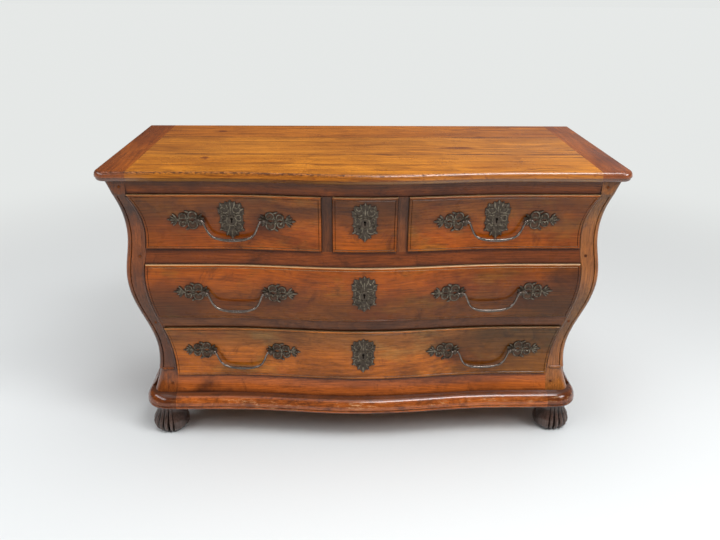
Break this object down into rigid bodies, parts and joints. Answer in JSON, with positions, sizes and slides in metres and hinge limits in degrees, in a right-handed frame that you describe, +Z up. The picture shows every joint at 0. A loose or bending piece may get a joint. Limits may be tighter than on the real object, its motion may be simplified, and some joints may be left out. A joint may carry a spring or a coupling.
{
  "type": "bombe chest of drawers",
  "caption": "Bombe chest of drawers in solid wood with a bowed, swelling front and sides, clamped board top, moulded base, carved bun feet, locks and scrolled bronze bail handles.",
  "frame": {"origin": "on the floor under the middle of the chest, midway between the back edge and the foremost edge of the top", "axes": "+X to the right seen from the front, +Y from the front to the back, +Z up; -Y is the drawer front"},
  "size_m": [1.35, 0.6199, 0.8],
  "materials": {
    "top_wood": "waxed and polished, honey orange",
    "case_wood": "waxed and polished, red brown",
    "drawer_wood": "waxed and polished, orange brown with darker heart",
    "inner_wood": "plain planed wood, unpolished",
    "foot_wood": "near-black brown stain, waxed",
    "bronze": "cast, darkly patinated with rubbed high points",
    "lock_iron": "filed iron, dull"
  },
  "bodies": {
    "case": {"back_boards": "inner_wood", "back_rails": "inner_wood", "base_corner_blocks": "case_wood", "bottom_board": "inner_wood", "drawer_dividers": "case_wood", "drawer_guides": "inner_wood", "drawer_runners": "inner_wood", "front_base_moulding": "case_wood", "front_left_foot": "foot_wood", "front_right_foot": "foot_wood", "rear_feet": "foot_wood", "joint_pegs": "case_wood", "left_front_stile": "case_wood", "right_front_stile": "case_wood", "left_side_panel": "case_wood", "right_side_panel": "case_wood", "rear_stiles": "inner_wood", "side_base_mouldings": "case_wood", "side_cove_mouldings": "case_wood", "top_boards": "top_wood", "top_end_clamps": "case_wood", "top_rail": "case_wood", "upper_rail": "case_wood", "lower_rail": "case_wood", "bottom_rail": "case_wood"},
    "top_left_drawer": {"top_left_drawer_front": "drawer_wood", "top_left_drawer_box": "inner_wood", "top_left_lock": "lock_iron", "top_left_escutcheon": "bronze", "top_left_handle_mounts": "bronze"},
    "top_left_bolt": {"top_left_lock_bolt": "lock_iron"},
    "top_left_bail": {"top_left_bail": "bronze"},
    "top_centre_drawer": {"top_centre_drawer_front": "drawer_wood", "top_centre_drawer_box": "inner_wood", "top_centre_lock": "lock_iron", "top_centre_escutcheon": "bronze"},
    "top_centre_bolt": {"top_centre_lock_bolt": "lock_iron"},
    "top_right_drawer": {"top_right_drawer_front": "drawer_wood", "top_right_drawer_box": "inner_wood", "top_right_lock": "lock_iron", "top_right_escutcheon": "bronze", "top_right_handle_mounts": "bronze"},
    "top_right_bolt": {"top_right_lock_bolt": "lock_iron"},
    "top_right_bail": {"top_right_bail": "bronze"},
    "middle_drawer": {"middle_drawer_front": "drawer_wood", "middle_drawer_box": "inner_wood", "middle_lock": "lock_iron", "middle_escutcheon": "bronze", "middle_handle_mounts": "bronze"},
    "middle_bolt": {"middle_lock_bolt": "lock_iron"},
    "middle_left_bail": {"middle_left_bail": "bronze"},
    "middle_right_bail": {"middle_right_bail": "bronze"},
    "bottom_drawer": {"bottom_drawer_front": "drawer_wood", "bottom_drawer_box": "inner_wood", "bottom_lock": "lock_iron", "bottom_escutcheon": "bronze", "bottom_handle_mounts": "bronze"},
    "bottom_bolt": {"bottom_lock_bolt": "lock_iron"},
    "bottom_left_bail": {"bottom_left_bail": "bronze"},
    "bottom_right_bail": {"bottom_right_bail": "bronze"}
  },
  "joints": [
    {"name": "top_left_drawer_slide", "type": "slide", "parent": "case", "child": "top_left_drawer", "axis": [0, -1, 0], "range_m": [0, 0.38]},
    {"name": "top_left_bolt_throw", "type": "slide", "parent": "top_left_drawer", "child": "top_left_bolt", "axis": [0, 0, 1], "range_m": [0, 0.008]},
    {"name": "top_left_bail_swing", "type": "hinge", "parent": "top_left_drawer", "child": "top_left_bail", "pos_m": [-0.341, -0.26486, 0.668], "axis": [-0.9989, 0.0472, 0], "range_deg": [0, 150]},
    {"name": "top_centre_drawer_slide", "type": "slide", "parent": "case", "child": "top_centre_drawer", "axis": [0, -1, 0], "range_m": [0, 0.38]},
    {"name": "top_centre_bolt_throw", "type": "slide", "parent": "top_centre_drawer", "child": "top_centre_bolt", "axis": [0, 0, 1], "range_m": [0, 0.008]},
    {"name": "top_right_drawer_slide", "type": "slide", "parent": "case", "child": "top_right_drawer", "axis": [0, -1, 0], "range_m": [0, 0.38]},
    {"name": "top_right_bolt_throw", "type": "slide", "parent": "top_right_drawer", "child": "top_right_bolt", "axis": [0, 0, 1], "range_m": [0, 0.008]},
    {"name": "top_right_bail_swing", "type": "hinge", "parent": "top_right_drawer", "child": "top_right_bail", "pos_m": [0.341, -0.26486, 0.668], "axis": [-0.9989, -0.0472, 0], "range_deg": [0, 150]},
    {"name": "middle_drawer_slide", "type": "slide", "parent": "case", "child": "middle_drawer", "axis": [0, -1, 0], "range_m": [0, 0.38]},
    {"name": "middle_bolt_throw", "type": "slide", "parent": "middle_drawer", "child": "middle_bolt", "axis": [0, 0, 1], "range_m": [0, 0.008]},
    {"name": "middle_left_bail_swing", "type": "hinge", "parent": "middle_drawer", "child": "middle_left_bail", "pos_m": [-0.341, -0.27055, 0.469], "axis": [-0.9989, 0.0472, 0], "range_deg": [0, 150]},
    {"name": "middle_right_bail_swing", "type": "hinge", "parent": "middle_drawer", "child": "middle_right_bail", "pos_m": [0.341, -0.27055, 0.469], "axis": [-0.9989, -0.0472, 0], "range_deg": [0, 150]},
    {"name": "bottom_drawer_slide", "type": "slide", "parent": "case", "child": "bottom_drawer", "axis": [0, -1, 0], "range_m": [0, 0.38]},
    {"name": "bottom_bolt_throw", "type": "slide", "parent": "bottom_drawer", "child": "bottom_bolt", "axis": [0, 0, 1], "range_m": [0, 0.008]},
    {"name": "bottom_left_bail_swing", "type": "hinge", "parent": "bottom_drawer", "child": "bottom_left_bail", "pos_m": [-0.341, -0.22466, 0.27], "axis": [-0.9989, 0.0472, 0], "range_deg": [0, 150]},
    {"name": "bottom_right_bail_swing", "type": "hinge", "parent": "bottom_drawer", "child": "bottom_right_bail", "pos_m": [0.341, -0.22466, 0.27], "axis": [-0.9989, -0.0472, 0], "range_deg": [0, 150]}
  ]
}
